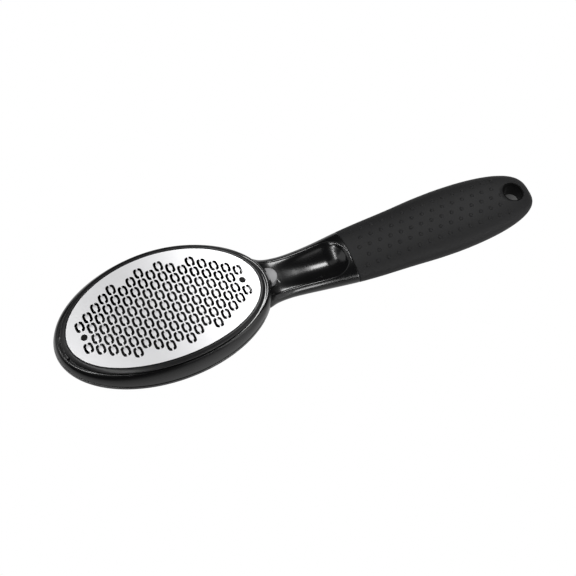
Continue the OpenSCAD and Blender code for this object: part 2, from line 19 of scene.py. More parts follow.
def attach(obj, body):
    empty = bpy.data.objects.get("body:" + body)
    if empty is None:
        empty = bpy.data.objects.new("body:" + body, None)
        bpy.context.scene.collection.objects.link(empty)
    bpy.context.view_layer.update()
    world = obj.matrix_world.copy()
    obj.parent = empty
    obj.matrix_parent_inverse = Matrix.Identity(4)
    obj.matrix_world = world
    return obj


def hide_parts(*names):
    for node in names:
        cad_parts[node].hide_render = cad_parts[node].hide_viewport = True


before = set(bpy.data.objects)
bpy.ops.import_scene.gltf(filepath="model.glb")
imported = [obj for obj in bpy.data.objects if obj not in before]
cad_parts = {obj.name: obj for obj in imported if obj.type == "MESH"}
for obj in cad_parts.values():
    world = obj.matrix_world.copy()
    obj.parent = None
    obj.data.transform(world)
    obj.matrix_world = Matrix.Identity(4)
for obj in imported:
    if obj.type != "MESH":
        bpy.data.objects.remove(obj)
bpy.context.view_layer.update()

MM = 0.001
FULL_TURN = 2 * math.pi
ROD_SIDES = 40
LOG = logging.getLogger("foot_file")
WHITE = (1.0, 1.0, 1.0, 1.0)

Pair = tuple[float, float]
Triple = tuple[float, float, float]
Place = float | Vector
Mesh = bmesh.types.BMesh
Vert = bmesh.types.BMVert
Edge = bmesh.types.BMEdge
Tree = bpy.types.NodeTree
Socket = bpy.types.NodeSocket


class Body(Enum):
    """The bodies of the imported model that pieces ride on."""

    HANDLE = "handle"
    LID = "lid"
    LATCH = "latch"


class Carving(Enum):
    """Ways of joining one closed mesh with another."""

    CUT = "DIFFERENCE"
    JOIN = "UNION"


def blend_curve(table: Sequence[Pair], place: float) -> float:
    """Reads a smooth curve through a table of places and values.

    Args:
        table: Pairs of place and value, in rising order of place.
        place: Where to read the curve.

    Returns:
        The value of the curve at that place.
    """
    last = len(table) - 2
    i = next((k for k in range(last) if place < table[k + 1][0]), last)

    def slope(k: int) -> float:
        """Gives the curve's slope at one pair of the table."""
        low, high = max(k - 1, 0), min(k + 1, len(table) - 1)
        return (table[high][1] - table[low][1]) / (table[high][0] - table[low][0])

    span = table[i + 1][0] - table[i][0]
    s = (place - table[i][0]) / span
    return (
        (2 * s**3 - 3 * s**2 + 1) * table[i][1]
        + (s**3 - 2 * s**2 + s) * span * slope(i)
        + (3 * s**2 - 2 * s**3) * table[i + 1][1]
        + (s**3 - s**2) * span * slope(i + 1)
    )


def soft_min(a: float, b: float, blend: float) -> float:
    """Gives the smaller of two levels, rounded off where they meet."""
    near = max(blend - abs(a - b), 0.0) / blend
    return min(a, b) - near * near * blend / 4


def bezier(t: float, start: Place, middle: Place, end: Place) -> Place:
    """Reads a soft curve from a start to an end that leans towards a middle."""
    return (1 - t) ** 2 * start + 2 * t * (1 - t) * middle + t * t * end


def rounded(corners: Sequence[Triple], radii: Sequence[float], steps: int = 4) -> list[Vector]:
    """Rounds the corners of a closed section.

    Args:
        corners: Reach beyond the plate, level and share of the bow of each corner.
        radii: How far from each corner its rounding starts, or 0 for a sharp one.
        steps: Number of edges in each rounding.

    Returns:
        The section's points.
    """
    points = []
    for i, (corner, radius) in enumerate(zip(corners, radii, strict=True)):
        here = Vector(corner)
        if radius == 0:
            points.append(here)
            continue
        back = Vector(corners[i - 1]) - here
        ahead = Vector(corners[(i + 1) % len(corners)]) - here
        start = here + back * min(0.5, radius / back.xy.length)
        end = here + ahead * min(0.5, radius / ahead.xy.length)
        points += [bezier(k / steps, start, here, end) for k in range(steps + 1)]
    return points


def end_inset(away: float, r: float) -> float:
    """Gives how far a skin draws in near an end that is rounded by a radius."""
    return r * (1 - math.sqrt(1 - (1 - away / r) ** 2)) if away < r else 0.0


@dataclass(frozen=True)
class Layout:
    """Sizes that all the pieces share, in millimetres."""

    half_len: float = 41.5
    half_wid: float = 23.65
    bow_r: float = 222.0
    mid_x: float = 64.35
    lift: float = 24.85
    wall_top: float = 1.75
    wall_out: float = 2.5
    base_out: float = 5.39
    flank_mid_out: float = 0.76
    flank_mid_down: float = 0.32
    bow_power: float = 1.5
    hollow_out: float = 1.2
    head_depth: float = 11.2
    floor_t: float = 1.6
    seam_share: float = 0.8
    seam_gap: float = 0.6
    cover_end: float = 37.6
    base_edge_r: float = 0.8
    base_edge_shares: Pair = (1 / 2, 1 / 3)
    base_edge_run: float = 0.15
    edge_share: float = 0.75
    spin_r: float = 100.0
    post_inset: float = 1.0
    post_turns: tuple = (48, 132, 228, 312)
    rim_steps: int = 300

    def bow(self, x: float) -> float:
        """Gives the level of the bowed plate's top face at a place along it."""
        return math.sqrt(self.bow_r**2 - x * x) - self.bow_r

    @property
    def floor_z(self) -> float:
        """Gives the level of the tray's floor."""
        return self.floor_t - self.head_depth

    def flank(self, t: float) -> Pair:
        """Gives the head's side at a share of its height, as reach and depth."""
        mid_out = self.wall_out + self.flank_mid_out * (self.base_out - self.wall_out)
        mid_down = self.wall_top + self.flank_mid_down * (self.head_depth - self.wall_top)
        reach = bezier(t, self.wall_out, mid_out, self.base_out)
        return reach, bezier(t, self.wall_top, mid_down, self.head_depth)

    @property
    def seam_z(self) -> float:
        """Gives the level of the seam above the base cover."""
        return -self.flank(self.seam_share)[1]

    def flank_corner(self, t: float) -> Triple:
        """Gives a corner of the head's section at a share of its height."""
        reach, down = self.flank(t)
        return reach, -down, max(0.0, 1 - t / self.seam_share) ** self.bow_power

    def shell_section(
        self, top: Triple, shares: Iterable[float], top_runs: Pair, floor_run: float
    ) -> list[Vector]:
        """Gives the section of a wall round the tray, down to its chamfered base.

        Args:
            top: Its upper inner corner.
            shares: Places down its outer side, as shares of the head's height.
            top_runs: Roundings of its inner and its outer upper corner.
            floor_run: Rounding of its corner with the tray's floor.

        Returns:
            The section's points.
        """
        side = [self.flank_corner(share) for share in shares]
        r, (share_in, share_up) = self.base_edge_r, self.base_edge_shares
        floor_in = self.hollow_out - self.floor_t
        corners = [
            top, *side, (self.base_out - r * share_in, r * share_up - self.head_depth, 0.0),
            (self.base_out - r, -self.head_depth, 0.0), (floor_in, -self.head_depth, 0.0),
            (floor_in, self.floor_z, 0.0), (self.hollow_out, self.floor_z, 0.0),
        ]
        sharp = [0.0] * (len(side) - 1)
        edge = self.base_edge_run
        return rounded(corners, [*top_runs, *sharp, edge, edge, 0.0, 0.0, floor_run])

    def oval(self, reach: float, turns: Iterable[float]) -> list[Pair]:
        """Gives the points of the plate's outline, grown by a reach, at some angles."""
        long, wide = self.half_len + reach, self.half_wid + reach
        return [(long * math.cos(turn), wide * math.sin(turn)) for turn in turns]

    def outline(self, reach: float) -> list[Pair]:
        """Gives the plate's whole outline in plan, grown by a reach."""
        return self.oval(reach, [FULL_TURN * k / self.rim_steps for k in range(self.rim_steps)])

    def posts(self) -> list[Pair]:
        """Gives the places in plan of the posts that the base cover is screwed to."""
        return self.oval(-self.post_inset, [math.radians(turn) for turn in self.post_turns])

    def settle(self, bm: Mesh) -> None:
        """Moves a mesh from the plate's millimetres into the part's metres."""
        bmesh.ops.translate(bm, vec=(-self.mid_x, 0, self.lift), verts=bm.verts)
        bmesh.ops.scale(bm, vec=(MM, MM, MM), verts=bm.verts)


LAYOUT = Layout()


@dataclass(frozen=True)
class HandleForm:
    """The handle's width, thickness and level along its length, in millimetres."""

    root_x: float = 37.85
    seam_x: float = 84.8
    palm_x: float = 132.0
    tip_x: float = 175.598
    drop: float = 18.35
    half_wid: float = 15.5
    half_thick: float = 6.5
    squareness: float = 2.3
    wid_shares: tuple = (
        (0, 0.9), (0.05, 0.81), (0.1, 0.685), (0.17, 0.638), (0.24, 0.65), (0.35, 0.71),
        (0.5, 0.82), (0.6, 0.87), (0.77, 0.925), (0.9, 0.98), (1, 1),
    )
    thick_shares: tuple = (
        (0, 0.3), (0.045, 0.46), (0.085, 0.6), (0.13, 0.62), (0.18, 0.63), (0.27, 0.69),
        (0.36, 0.74), (0.5, 0.79), (0.65, 0.87), (0.8, 0.95), (1, 1),
    )
    level_shares: tuple = (
        (0, 0.5), (0.05, 0.6), (0.1, 0.725), (0.17, 0.808), (0.23, 0.862), (0.34, 0.932),
        (0.5, 0.972), (0.65, 0.99), (1, 1),
    )
    tip_wid_power: float = 2.17
    tip_wid_root: float = 3.0
    tip_thick_power: float = 3.5
    tip_end_share: float = 0.99995

    def palm_share(self, x: float) -> float:
        """Gives how far a place lies from the root to the palm."""
        return (x - self.root_x) / (self.palm_x - self.root_x)

    def tip_share(self, x: float) -> float:
        """Gives how far a place lies from the palm to the tip."""
        return min(self.tip_end_share, (x - self.palm_x) / (self.tip_x - self.palm_x))

    def wid(self, x: float) -> float:
        """Gives half the handle's width at a place along it."""
        if x < self.palm_x:
            return self.half_wid * blend_curve(self.wid_shares, self.palm_share(x))
        return self.half_wid * (1 - self.tip_share(x) ** self.tip_wid_power) ** (1 / self.tip_wid_root)

    def thick(self, x: float) -> float:
        """Gives half the handle's thickness at a place along it."""
        if x < self.palm_x:
            return self.half_thick * blend_curve(self.thick_shares, self.palm_share(x))
        return self.half_thick * math.sqrt(1 - self.tip_share(x) ** self.tip_thick_power)

    def level(self, x: float) -> float:
        """Gives the level of the handle's axis at a place along it."""
        return -self.drop * blend_curve(self.level_shares, min(1.0, self.palm_share(x)))

    def point(self, x: float, turn: float, inset: float = 0.0) -> Vector:
        """Gives a point at an angle from +Y towards +Z and at a depth below the skin."""
        power = 2 / self.squareness
        c, s = math.cos(turn), math.sin(turn)
        y = (self.wid(x) - inset) * math.copysign(abs(c) ** power, c)
        z = (self.thick(x) - inset) * math.copysign(abs(s) ** power, s)
        return Vector((x, y, self.level(x) + z))

    def top(self, x: float, y: float) -> float:
        """Gives the level of the handle's upper skin over a place in plan."""
        share = min(1.0, abs(y) / self.wid(x))
        rise = (1 - share**self.squareness) ** (1 / self.squareness)
        return self.level(x) + self.thick(x) * rise

    def top_place(self, x: float, y: float, step: float) -> Matrix:
        """Gives the place of a piece that stands square on the skin, its slope read over a step."""
        here = Vector((x, y, self.top(x, y)))
        along = Vector((step, 0, self.top(x + step, y) - here.z))
        across = Vector((0, step, self.top(x, y + step) - here.z))
        tilt = Vector((0, 0, 1)).rotation_difference(along.cross(across))
        return Matrix.Translation(here) @ tilt.to_matrix().to_4x4()


FORM = HandleForm()


def shader_group(name: str, inputs: Sequence[str], outputs: Sequence[str]) -> Tree:
    """Makes an empty shader node group. A socket that is named Colour takes a colour."""
    tree = bpy.data.node_groups.new(name, "ShaderNodeTree")
    for direction, labels in (("INPUT", inputs), ("OUTPUT", outputs)):
        for label in labels:
            kind = "NodeSocketColor" if label == "Colour" else "NodeSocketFloat"
            tree.interface.new_socket(label, in_out=direction, socket_type=kind)
    tree.nodes.new("NodeGroupInput")
    tree.nodes.new("NodeGroupOutput")
    return tree


def feed(socket: Socket, value: object) -> None:
    """Links a node's input to another node's output, or sets its value."""
    if isinstance(value, Socket):
        socket.id_data.links.new(value, socket)
    elif value is not None:
        socket.default_value = value


def node(tree: Tree, kind: str, *first: object, **named: object) -> bpy.types.Node:
    """Adds a node, and links or sets its inputs and properties.

    Args:
        tree: The nodes that it joins.
        kind: The node's type.
        first: What its first inputs take, in order: a socket, a value, or None.
        named: What its other inputs and its properties take, with _ for a space.

    Returns:
        The node.
    """
    made = tree.nodes.new(kind)
    for name, value in named.items():
        label = name.replace("_", " ")
        if label in made.inputs:
            feed(made.inputs[label], value)
        else:
            setattr(made, name, value)
    for socket, value in zip(made.inputs, first):
        feed(socket, value)
    return made


class SurfaceEffects:
    """The node groups that the finishes share."""

    def __init__(self) -> None:
        """Builds the groups."""
        self.grain = self._grain()
        self.handling = self._handling()

    def _grain(self) -> Tree:
        """Builds the fine grain that gives a moulded or blasted surface its tooth."""
        tree = shader_group("Fine grain", ("Size", "Stretch"), ("Height",))
        given, out = tree.nodes["Group Input"].outputs, tree.nodes["Group Output"].inputs
        place = node(tree, "ShaderNodeTexCoord").outputs["Object"]
        stretch = node(tree, "ShaderNodeCombineXYZ", 1.0, given["Stretch"], 1.0)
        scaled = node(tree, "ShaderNodeVectorMath", place, stretch.outputs[0], operation="MULTIPLY")
        feed(out["Height"], self._noise(tree, scaled.outputs[0], given["Size"], detail=3.0, rough=0.6))
        return tree

    def _noise(self, tree: Tree, place: Socket, size: Socket, detail: float, rough: float) -> Socket:
        """Adds noise with patches of a size, and gives its value."""
        per_size = node(tree, "ShaderNodeMath", 1.0, size, operation="DIVIDE").outputs[0]
        noise = node(
            tree, "ShaderNodeTexNoise", Vector=place, Scale=per_size, Detail=detail, Roughness=rough,
        )
        return noise.outputs["Fac"]

    def _handling(self) -> Tree:
        """Builds the faint unevenness of sheen and shade that handling leaves."""
        changes = ("Patch size", "Sheen change", "Shade change")
        tree = shader_group("Handling", ("Colour", "Roughness", *changes), ("Colour", "Roughness"))
        given, out = tree.nodes["Group Input"].outputs, tree.nodes["Group Output"].inputs
        place = node(tree, "ShaderNodeTexCoord").outputs["Object"]
        noise = self._noise(tree, place, given["Patch size"], detail=4.0, rough=0.55)
        centred = node(tree, "ShaderNodeMath", noise, 0.5, operation="SUBTRACT").outputs[0]
        sheen, shade = (
            node(tree, "ShaderNodeMath", centred, change, middle, operation="MULTIPLY_ADD").outputs[0]
            for change, middle in ((given["Sheen change"], given["Roughness"]), (given["Shade change"], 1.0))
        )
        tinted = node(tree, "ShaderNodeVectorMath", given["Colour"], operation="SCALE", Scale=shade)
        feed(out["Colour"], tinted.outputs[0])
        feed(out["Roughness"], sheen)
        return tree


@dataclass(frozen=True)
class Finish:
    """One surface: its colour, its sheen and its fine texture, sizes in millimetres."""

    slot: str
    colour: Triple
    roughness: float
    metallic: float = 0.0
    specular: float = 0.5
    grain: float = 0.3
    grain_depth: float = 0.01
    grain_stretch: float = 1.0
    patch: float = 9.0
    sheen_change: float = 0.08
    shade_change: float = 0.15
    variant: str = "finish"

    def material(self, effects: SurfaceEffects) -> bpy.types.Material:
        """Makes the finish's material, or gives the one made before."""
        name = f"{self.slot}_{self.variant}"
        made = bpy.data.materials.get(name)
        if made is not None:
            return made
        made = bpy.data.materials.new(name)
        made.use_nodes = True
        tree = made.node_tree
        shader = tree.nodes["Principled BSDF"].inputs
        handling = node(
            tree, "ShaderNodeGroup", node_tree=effects.handling, Colour=(*self.colour, 1.0),
            Roughness=self.roughness, Patch_size=self.patch * MM, Sheen_change=self.sheen_change,
            Shade_change=self.shade_change,
        ).outputs
        grain = node(
            tree, "ShaderNodeGroup", node_tree=effects.grain, Size=self.grain * MM,
            Stretch=self.grain_stretch,
        ).outputs
        bump = node(
            tree, "ShaderNodeBump", Strength=1.0, Distance=self.grain_depth * MM, Height=grain["Height"],
        ).outputs
        for label, value in (
            ("Metallic", self.metallic), ("Specular IOR Level", self.specular),
            ("Base Color", handling["Colour"]), ("Roughness", handling["Roughness"]),
            ("Normal", bump["Normal"]),
        ):
            feed(shader[label], value)
        return made


PLATE_STEEL = Finish("plate_steel", (0.8, 0.8, 0.81), 0.5, metallic=1.0, grain=0.12,
                     grain_depth=0.004, shade_change=0.05, sheen_change=0.05)
DULL_PLASTIC = Finish("dull_black_plastic", (0.006, 0.006, 0.0064), 0.35, specular=0.42, grain=0.15,
                      grain_depth=0.001, sheen_change=0.05)
GLOSS_PLASTIC = Finish("gloss_black_plastic", (0.004, 0.004, 0.0043), 0.19, grain=2.5,
                       grain_depth=0.0003, sheen_change=0.04)
GREY_PLASTIC = Finish("grey_plastic", (0.26, 0.26, 0.265), 0.4, grain=0.12, grain_depth=0.004)
RUBBER = Finish("black_rubber", (0.008, 0.008, 0.0085), 0.6, specular=0.32, grain=0.18,
                grain_depth=0.02, patch=14.0)
# Painted shade: the hanging hole's wall is darker and duller than the rubber, standing in for the shade
# inside the hole.
BORE_SHADE = Finish("black_rubber", (0.002, 0.002, 0.002), 0.8, specular=0.1, variant="bore")
# Painted shade: the plate's slot walls are nearly black, standing in for the shade in the slots.
SLOT_SHADE_STEEL = Finish("plate_steel", (0.02, 0.02, 0.021), 0.6, metallic=1.0, grain=0.12, variant="cut")
RIVET_BLACK = Finish("dull_black_plastic", (0.004, 0.004, 0.004), 0.5, specular=0.15, grain=0.15,
                     grain_depth=0.004, variant="rivet")
SMALL_STEEL = Finish("small_steel", (0.5, 0.5, 0.51), 0.3, metallic=1.0, grain=0.1,
                     grain_depth=0.003, grain_stretch=4.0)


def add_object(name: str, data: bpy.types.ID, place: Matrix | None = None) -> bpy.types.Object:
    """Puts a mesh, a light or a camera into the scene, at a place if one is given."""
    made = bpy.data.objects.new(name, data)
    if place is not None:
        made.matrix_world = place
    bpy.context.scene.collection.objects.link(made)
    return made


def mesh_object(bm: Mesh, name: str) -> bpy.types.Object:
    """Makes an object of a mesh and frees the mesh."""
    mesh = bpy.data.meshes.new(name)
    bm.to_mesh(mesh)
    bm.free()
    return add_object(name, mesh)


def carve(body: Mesh, tool: Mesh, how: Carving = Carving.CUT) -> Mesh:
    """Cuts one closed mesh out of another, or joins the two.

    Args:
        body: The mesh that is worked on. It is used up.
        tool: The mesh that cuts or is added. It is used up.
        how: Whether to cut or to join.

    Returns:
        The mesh that results.
    """
    for bm in (body, tool):
        bmesh.ops.recalc_face_normals(bm, faces=bm.faces)
    worked, cutter = mesh_object(body, "worked"), mesh_object(tool, "cutter")
    step = worked.modifiers.new("carve", "BOOLEAN")
    step.operation = how.value
    step.solver = "EXACT"
    step.object = cutter
    bpy.context.view_layer.update()
    result = bmesh.new()
    result.from_object(worked, bpy.context.evaluated_depsgraph_get())
    for spent in (worked, cutter):
        mesh = spent.data
        bpy.data.objects.remove(spent)
        bpy.data.meshes.remove(mesh)
    return result


@dataclass
class Workshop:
    """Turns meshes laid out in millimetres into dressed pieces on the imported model."""

    effects: SurfaceEffects
    crease: float = 32.0

    def deliver(
        self, name: str, bm: Mesh, finish: Finish, body: Body, replaced: str,
        trim: Finish | None = None,
    ) -> bpy.types.Object:
        """Makes a piece of a mesh: smooths, dresses and mounts it.

        Args:
            name: The piece's name.
            bm: Its mesh, in the plate's millimetres. It is used up.
            finish: Its surface.
            body: The body that it rides on.
            replaced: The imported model's node that it stands for.
            trim: The surface of the faces that are marked with material index 1.

        Returns:
            The piece.
        """
        bmesh.ops.recalc_face_normals(bm, faces=bm.faces)
        LAYOUT.settle(bm)
        piece = mesh_object(bm, name)
        piece.data.shade_smooth()
        piece.data.set_sharp_from_angle(angle=math.radians(self.crease))
        for surface in (finish, trim):
            if surface is not None:
                piece.data.materials.append(surface.material(self.effects))
        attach(piece, body.value)
        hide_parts(replaced)
        LOG.info("%s: %d faces on %s", name, len(piece.data.polygons), body.value)
        return piece

    def dress(self, name: str, finish: Finish) -> None:
        """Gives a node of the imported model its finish."""
        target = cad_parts[name]
        target.data.materials.clear()
        target.data.materials.append(finish.material(self.effects))
        LOG.info("%s: dressed as %s", name, finish.slot)


def picked(items: Iterable, kind: type) -> list:
    """Picks the items of one kind out of what a mesh operation gives."""
    return [item for item in items if isinstance(item, kind)]


def everything(bm: Mesh) -> list:
    """Lists all that a mesh is made of."""
    return bm.verts[:] + bm.edges[:] + bm.faces[:]


def edges_at(verts: Iterable[Vert]) -> list[Edge]:
    """Lists the edges that meet some points."""
    return list({edge for vert in verts for edge in vert.link_edges})


def add_ring(bm: Mesh, points: Sequence[Triple], filled: bool = False) -> list[Vert]:
    """Adds a closed ring of edges through some points, with or without a face in it."""
    ring = bmesh.ops.create_circle(bm, cap_ends=filled, segments=len(points), radius=1.0)["verts"]
    for vert, point in zip(ring, points, strict=True):
        vert.co = point
    return ring


def sweep_rim(section: Sequence[Vector]) -> Mesh:
    """Sweeps a closed section round the plate's oval outline.

    Args:
        section: Reach beyond the plate, level and share of the bow of each corner.

    Returns:
        The rim's mesh.
    """
    bm = bmesh.new()
    share = bm.verts.layers.float.new("bow_share")
    ring = add_ring(bm, [(LAYOUT.spin_r + corner.x, 0, corner.y) for corner in section])
    for vert, corner in zip(ring, section, strict=True):
        vert[share] = corner.z
    bmesh.ops.spin(
        bm, geom=ring + edges_at(ring), cent=(0, 0, 0), axis=(0, 0, 1), dvec=(0, 0, 0),
        angle=FULL_TURN, steps=LAYOUT.rim_steps, use_merge=True,
    )
    for vert in bm.verts:
        reach = math.hypot(vert.co.x, vert.co.y) - LAYOUT.spin_r
        [(x, y)] = LAYOUT.oval(reach, [math.atan2(vert.co.y, vert.co.x)])
        vert.co = (x, y, vert.co.z + vert[share] * LAYOUT.bow(x))
    return bm


def loft(around: int, stations: Sequence[float], point: Callable[[float, float], Vector]) -> Mesh:
    """Draws a closed skin through rings of points, with a cap at both ends.

    Args:
        around: Number of points in each ring.
        stations: Place of each ring.
        point: Gives a ring's point at a station and an angle.

    Returns:
        The skin's mesh.
    """
    bm = bmesh.new()
    turn = bm.verts.layers.float.new("turn")
    ring = bmesh.ops.create_circle(bm, segments=around, radius=1.0)["verts"]
    for vert in ring:
        vert[turn] = math.atan2(vert.co.y, vert.co.x)
        vert.co = point(stations[0], vert[turn])
    edges = edges_at(ring)
    bmesh.ops.contextual_create(bm, geom=ring)
    for station in stations[1:]:
        grown = bmesh.ops.extrude_edge_only(bm, edges=edges)["geom"]
        ring, edges = picked(grown, Vert), picked(grown, Edge)
        for vert in ring:
            vert.co = point(station, vert[turn])
    bmesh.ops.contextual_create(bm, geom=ring)
    return bm


def add_box(bm: Mesh, low: Triple, high: Triple) -> Mesh:
    """Adds a box between two corners to a mesh, and gives the mesh."""
    low_v, high_v = Vector(low), Vector(high)
    place = Matrix.Translation((low_v + high_v) / 2) @ Matrix.Diagonal((*(high_v - low_v), 1.0))
    bmesh.ops.create_cube(bm, size=1.0, matrix=place)
    return bm


def add_rod(bm: Mesh, start: Triple, end: Triple, r: float) -> None:
    """Adds a round bar between two points."""
    low, axis = Vector(start), Vector(end) - Vector(start)
    turn = Vector((0, 0, 1)).rotation_difference(axis).to_matrix().to_4x4()
    bmesh.ops.create_cone(
        bm, cap_ends=True, segments=ROD_SIDES, radius1=r, radius2=r,
        depth=axis.length, matrix=Matrix.Translation(low + axis / 2) @ turn,
    )


def prism(outline: Sequence[Pair], low: float, high: float) -> Mesh:
    """Makes an upright prism on an outline, between two levels."""
    bm = bmesh.new()
    add_ring(bm, [(x, y, low) for x, y in outline], filled=True)
    grown = bmesh.ops.extrude_face_region(bm, geom=bm.faces[:])["geom"]
    bmesh.ops.translate(bm, vec=(0, 0, high - low), verts=picked(grown, Vert))
    return bm


@dataclass(frozen=True)
class FilePlate:
    """The bowed steel sheet with its field of raised teeth between pairs of slots."""

    thickness: float = 0.5
    pitch: float = 5.0
    margin: float = 5.1
    tooth_len: float = 4.5
    tooth_wid: float = 3.7
    slot_w: float = 0.93
    bridge_w: float = 0.75
    rise: float = 0.189
    edge_r: float = 0.06
    rim_steps: int = 240
    slot_steps: int = 16
    slot_square: float = 0.62
    along_step: float = 1.1
    across_step: float = 0.5
    wall_tilt: float = 0.8
    weld: float = 1e-4

    @property
    def column_step(self) -> float:
        """Gives the distance between columns of teeth, measured along the bow."""
        return self.pitch * math.sqrt(3) / 2

    def column_x(self, i: float) -> float:
        """Gives a column's place along the plate."""
        return LAYOUT.bow_r * math.sin(i * self.column_step / LAYOUT.bow_r)

    @property
    def columns(self) -> int:
        """Gives the number of columns on each side of the middle one."""
        reach = LAYOUT.bow_r * math.asin((LAYOUT.half_len - self.margin) / LAYOUT.bow_r)
        return int(reach / self.column_step)

    @property
    def rivet_x(self) -> float:
        """Gives the rivets' distance from the plate's middle."""
        return self.column_x(self.columns)

    def teeth(self) -> list[Pair]:
        """Gives the middle of each tooth in plan."""
        places = []
        rows = math.ceil(LAYOUT.half_wid / self.pitch) * 2
        long, wide = LAYOUT.half_len - self.margin, LAYOUT.half_wid - self.margin
        for i in range(-self.columns, self.columns + 1):
            for j in range(-rows, rows + 1):
                x, y = self.column_x(i), j * self.pitch / 2
                in_field = (x / long) ** 2 + (y / wide) ** 2 <= 1
                clear = math.hypot(abs(x) - self.rivet_x, y) > self.pitch / 2
                if (i + j) % 2 == 0 and in_field and clear:
                    places.append((x, y))
        return places

    def _slot(self, side: int) -> list[Pair]:
        """Gives a slot's outline beside its tooth, wider by the rounding of its edge."""
        points = []
        for grow, order in ((self.edge_r, 1), (-self.slot_w - self.edge_r, -1)):
            r_x, r_y = self.tooth_wid / 2 + grow, self.tooth_len / 2 + grow
            end = math.acos(((self.bridge_w / 2 - self.edge_r) / r_x) ** (1 / self.slot_square))
            for k in range(self.slot_steps + 1):
                turn = order * end * (2 * k / self.slot_steps - 1)
                x, y = math.cos(turn) ** self.slot_square, abs(math.sin(turn)) ** self.slot_square
                points.append((side * r_x * x, math.copysign(r_y * y, turn)))
        return points

    def _outline(self, bm: Mesh, teeth: Iterable[Pair]) -> None:
        """Draws the flat sheet with its slots as holes."""
        edge = bmesh.ops.create_circle(bm, segments=self.rim_steps, radius=1.0)["verts"]
        inset = self.edge_r
        bmesh.ops.scale(bm, vec=(LAYOUT.half_len - inset, LAYOUT.half_wid - inset, 1), verts=edge)
        for x, y in teeth:
            for side in (-1, 1):
                add_ring(bm, [(x + u, y + v, 0) for u, v in self._slot(side)])
        bmesh.ops.triangle_fill(bm, use_beauty=True, edges=bm.edges[:], normal=(0, 0, 1))

    def _divide(self, bm: Mesh) -> None:
        """Cuts the flat sheet along and across, so that it can bend."""
        for direction, half, step in (
            ((1, 0, 0), LAYOUT.half_len, self.along_step),
            ((0, 1, 0), LAYOUT.half_wid, self.across_step),
        ):
            count = int(half / step)
            for k in range(-count, count + 1):
                bmesh.ops.bisect_plane(
                    bm, geom=everything(bm), dist=self.weld,
                    plane_co=Vector(direction) * (k + 0.5) * step, plane_no=direction,
                )

    def _grow_edges(self, bm: Mesh, edges: list, out: float, down: float) -> list:
        """Draws the open edges out into the holes and down.

        Args:
            bm: The sheet's mesh.
            edges: The open edges.
            out: How far they move into the hole.
            down: How far they move down.

        Returns:
            The new open edges.
        """
        away: dict[Vert, Vector] = {}
        for edge in edges:
            a, b = edge.verts
            across = (b.co - a.co).cross(Vector((0, 0, 1)))
            across.normalize()
            middle = (a.co + b.co) / 2
            if across.dot(edge.link_faces[0].calc_center_median() - middle) > 0:
                across.negate()
            for vert in (a, b):
                away[vert] = away.get(vert, Vector()) + across
        grown = bmesh.ops.extrude_edge_only(bm, edges=edges)["geom"]
        fresh = set(picked(grown, Vert))
        for vert in fresh:
            old = next(e.other_vert(vert) for e in vert.link_edges if e.other_vert(vert) not in fresh)
            move = away.get(old, Vector())
            if move.length > 0:
                move = move.normalized() * out
            vert.co += move + Vector((0, 0, -down))
        return picked(grown, Edge)

    def _bend(self, bm: Mesh, teeth: Iterable[Pair]) -> None:
        """Raises the teeth into low arches and bends the sheet to its bow."""
        mid = Vector(((self.tooth_wid - self.slot_w) / 2, (self.tooth_len - self.slot_w) / 2))
        columns: dict[int, list[Pair]] = {}
        for x, y in teeth:
            columns.setdefault(round(x / self.column_step), []).append((x, y))
        for vert in bm.verts:
            x, y = vert.co.x, vert.co.y
            rise = 0.0
            for tooth_x, tooth_y in columns.get(round(x / self.column_step), ()):
                u, v = (x - tooth_x) / mid.x, (y - tooth_y) / mid.y
                if u * u + v * v < 1:
                    rise = self.rise * (1 - v * v)
            vert.co.z += rise + LAYOUT.bow(x)

    def build(self, workshop: Workshop) -> None:
        """Builds the plate."""
        bm = bmesh.new()
        teeth = self.teeth()
        self._outline(bm, teeth)
        self._divide(bm)
        open_edges = [edge for edge in bm.edges if edge.is_boundary]
        rounded_edges = self._grow_edges(bm, open_edges, self.edge_r, self.edge_r)
        skin = bmesh.ops.duplicate(bm, geom=everything(bm))["geom"]
        for vert in picked(skin, Vert):
            vert.co.z = -self.thickness - vert.co.z
        walls = bmesh.ops.extrude_edge_only(bm, edges=rounded_edges)["geom"]
        for vert in picked(walls, Vert):
            vert.co.z = self.edge_r - self.thickness
        bmesh.ops.remove_doubles(bm, verts=bm.verts, dist=self.weld)
        bm.normal_update()
        # The slot walls take the second material, which is painted shade.
        for face in bm.faces:
            face.material_index = int(abs(face.normal.z) < self.wall_tilt)
        self._bend(bm, teeth)
        workshop.deliver("file_plate_sheet", bm, PLATE_STEEL, Body.LID, "file_plate", SLOT_SHADE_STEEL)


